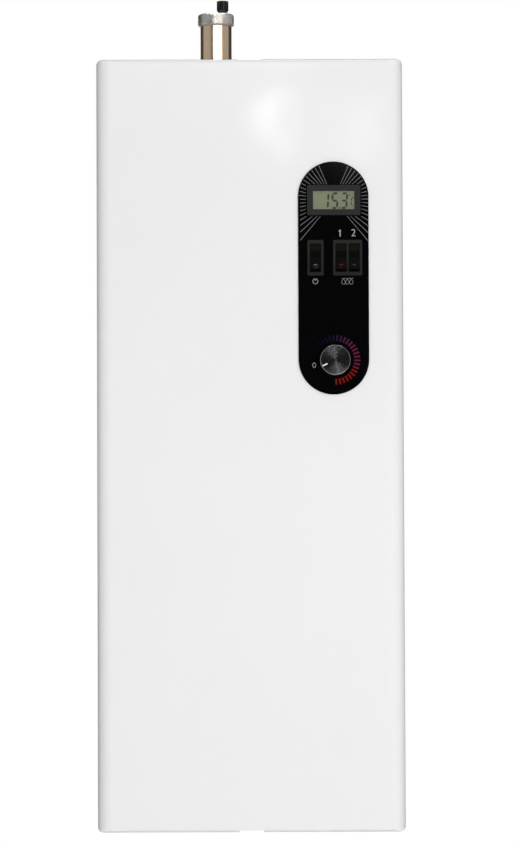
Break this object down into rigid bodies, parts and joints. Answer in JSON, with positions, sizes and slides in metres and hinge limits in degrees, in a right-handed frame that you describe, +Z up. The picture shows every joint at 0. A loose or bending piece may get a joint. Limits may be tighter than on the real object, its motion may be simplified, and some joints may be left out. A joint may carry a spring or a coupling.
{
  "type": "electric heating boiler",
  "caption": "Wall hung electric boiler for water heating, with pump, air vent and a control panel with thermometer, rocker switches and thermostat knob.",
  "frame": {"origin": "on the wall plane, midway between the two hanging holes", "axes": "+Z up, +Y into the wall, +X to the right of someone who faces the boiler"},
  "size_m": [0.2744, 0.1724, 0.7444],
  "materials": {
    "white_paint": "smooth satin white powder coat",
    "chassis_paint": "satin light grey powder coat",
    "zinc": "zinc plated steel",
    "stainless": "stainless steel",
    "foam": "closed cell foam, matt",
    "brass": "turned brass",
    "nickel_brass": "dull nickel plated brass",
    "copper": "bare copper",
    "black_rubber": "matt black rubber",
    "pump_cast": "red cataphoretic coat on cast iron",
    "pump_housing": "dark painted aluminium",
    "laminations": "varnished laminations",
    "rotor_steel": "ground steel",
    "black_plastic": "satin black plastic",
    "red_plastic": "red plastic",
    "ceramic": "glazed ceramic",
    "float_plastic": "white plastic",
    "panel_gloss": "gloss black",
    "screen": "grey green liquid crystal",
    "window_clear": "clear window",
    "lamp_red": "red lamp lens",
    "knob_metal": "dark spun aluminium",
    "device_grey": "light grey plastic",
    "gland_grey": "grey nylon",
    "hose": "milky flexible hose",
    "wire": "insulated wire"
  },
  "bodies": {
    "boiler": {"chassis": "chassis_paint", "front_cover": "white_paint", "cover_screws": "zinc", "vent_grommet": "black_rubber", "vessel": "stainless", "vessel_jacket": "foam", "vessel_clamps": "zinc", "element_head": "brass", "heating_rods": "stainless", "rod_insulators": "ceramic", "rod_terminals": "zinc", "return_pipe": "copper", "supply_pipe": "copper", "supply_tail": "copper", "union_nuts": "brass", "water_gaskets": "black_rubber", "pump_body": "pump_cast", "pump_motor": "pump_housing", "pump_stator": "laminations", "pump_bolts": "zinc", "pump_terminal_box": "black_plastic", "vent_body": "nickel_brass", "vent_ring": "nickel_brass", "relief_elbow": "brass", "relief_body": "brass", "relief_spring": "zinc", "discharge_hose": "hose", "control_panel": "panel_gloss", "display_case": "black_plastic", "display_screen": "screen", "display_window": "window_clear", "power_switch_frame": "black_plastic", "stage_switch_frame": "black_plastic", "thermostat": "black_plastic", "sensor_bulb": "copper", "limiter": "black_plastic", "electrical_bracket": "chassis_paint", "contactors": "device_grey", "terminal_block": "device_grey", "wiring": "wire", "cable_gland": "gland_grey", "gland_seal": "black_rubber"},
    "pump_rotor": {"pump_rotor": "rotor_steel"},
    "pump_speed_knob": {"pump_speed_knob": "red_plastic"},
    "vent_float": {"vent_float": "float_plastic"},
    "vent_lever": {"vent_lever": "zinc"},
    "vent_cap_washer": {"vent_cap_washer": "black_rubber"},
    "vent_cap": {"vent_cap": "black_plastic"},
    "relief_spindle": {"relief_spindle": "zinc"},
    "relief_knob": {"relief_knob": "red_plastic"},
    "power_rocker": {"power_rocker": "black_plastic", "power_lamp": "lamp_red"},
    "stage_rocker_1": {"stage_rocker_1": "black_plastic", "stage_lamp_1": "lamp_red"},
    "stage_rocker_2": {"stage_rocker_2": "black_plastic", "stage_lamp_2": "lamp_red"},
    "thermostat_knob": {"thermostat_knob": "black_plastic", "thermostat_shaft": "stainless", "knob_cap": "knob_metal"},
    "limiter_button": {"limiter_button": "red_plastic"}
  },
  "joints": [
    {"name": "pump_spin", "type": "hinge", "parent": "boiler", "child": "pump_rotor", "pos_m": [0.072, -0.09, -0.467], "axis": [0, 1, 0], "continuous": true},
    {"name": "pump_speed_turn", "type": "hinge", "parent": "boiler", "child": "pump_speed_knob", "pos_m": [0.072, -0.14, -0.404], "axis": [0, 1, 0], "range_deg": [0, 120]},
    {"name": "vent_float_rise", "type": "slide", "parent": "boiler", "child": "vent_float", "axis": [0, 0, 1], "range_m": [0, 0.003]},
    {"name": "vent_lever_swing", "type": "hinge", "parent": "boiler", "child": "vent_lever", "pos_m": [-0.035, -0.052, 0.1069], "axis": [0, -1, 0], "range_deg": [0, 17.3]},
    {"name": "vent_cap_rise", "type": "slide", "parent": "boiler", "child": "vent_cap_washer", "axis": [0, 0, 1], "range_m": [0, 0.0016]},
    {"name": "vent_cap_turn", "type": "hinge", "parent": "vent_cap_washer", "child": "vent_cap", "pos_m": [-0.024, -0.052, 0.12], "axis": [0, 0, 1], "range_deg": [0, 724]},
    {"name": "relief_lift", "type": "slide", "parent": "boiler", "child": "relief_spindle", "axis": [0, 0, 1], "range_m": [0, 0.0015], "stiffness_N_per_m": 2000, "springref_m": -0.004, "deforming": ["relief_spring"]},
    {"name": "relief_turn", "type": "hinge", "parent": "relief_spindle", "child": "relief_knob", "pos_m": [-0.1, -0.052, -0.012], "axis": [0, 0, 1], "range_deg": [0, 91]},
    {"name": "power_rocker_tilt", "type": "hinge", "parent": "boiler", "child": "power_rocker", "pos_m": [0.0577, -0.156, -0.1144], "axis": [1, 0, 0], "range_deg": [0, 24]},
    {"name": "stage_rocker_1_tilt", "type": "hinge", "parent": "boiler", "child": "stage_rocker_1", "pos_m": [0.08015, -0.156, -0.1144], "axis": [1, 0, 0], "range_deg": [0, 24]},
    {"name": "stage_rocker_2_tilt", "type": "hinge", "parent": "boiler", "child": "stage_rocker_2", "pos_m": [0.09165, -0.156, -0.1144], "axis": [1, 0, 0], "range_deg": [0, 24]},
    {"name": "thermostat_turn", "type": "hinge", "parent": "boiler", "child": "thermostat_knob", "pos_m": [0.0745, -0.165, -0.2048], "axis": [0, 1, 0], "range_deg": [0, 285]},
    {"name": "limiter_press", "type": "slide", "parent": "boiler", "child": "limiter_button", "axis": [0, 0, -1], "range_m": [0, 0.0015], "stiffness_N_per_m": 800, "springref_m": -0.001}
  ],
  "couplings": [
    {"joint": "vent_lever_swing", "follows": "vent_float_rise", "rad_per_m": 100},
    {"joint": "vent_cap_turn", "follows": "vent_cap_rise", "rad_per_m": 7854},
    {"joint": "relief_turn", "follows": "relief_lift", "rad_per_m": 1047.2}
  ]
}
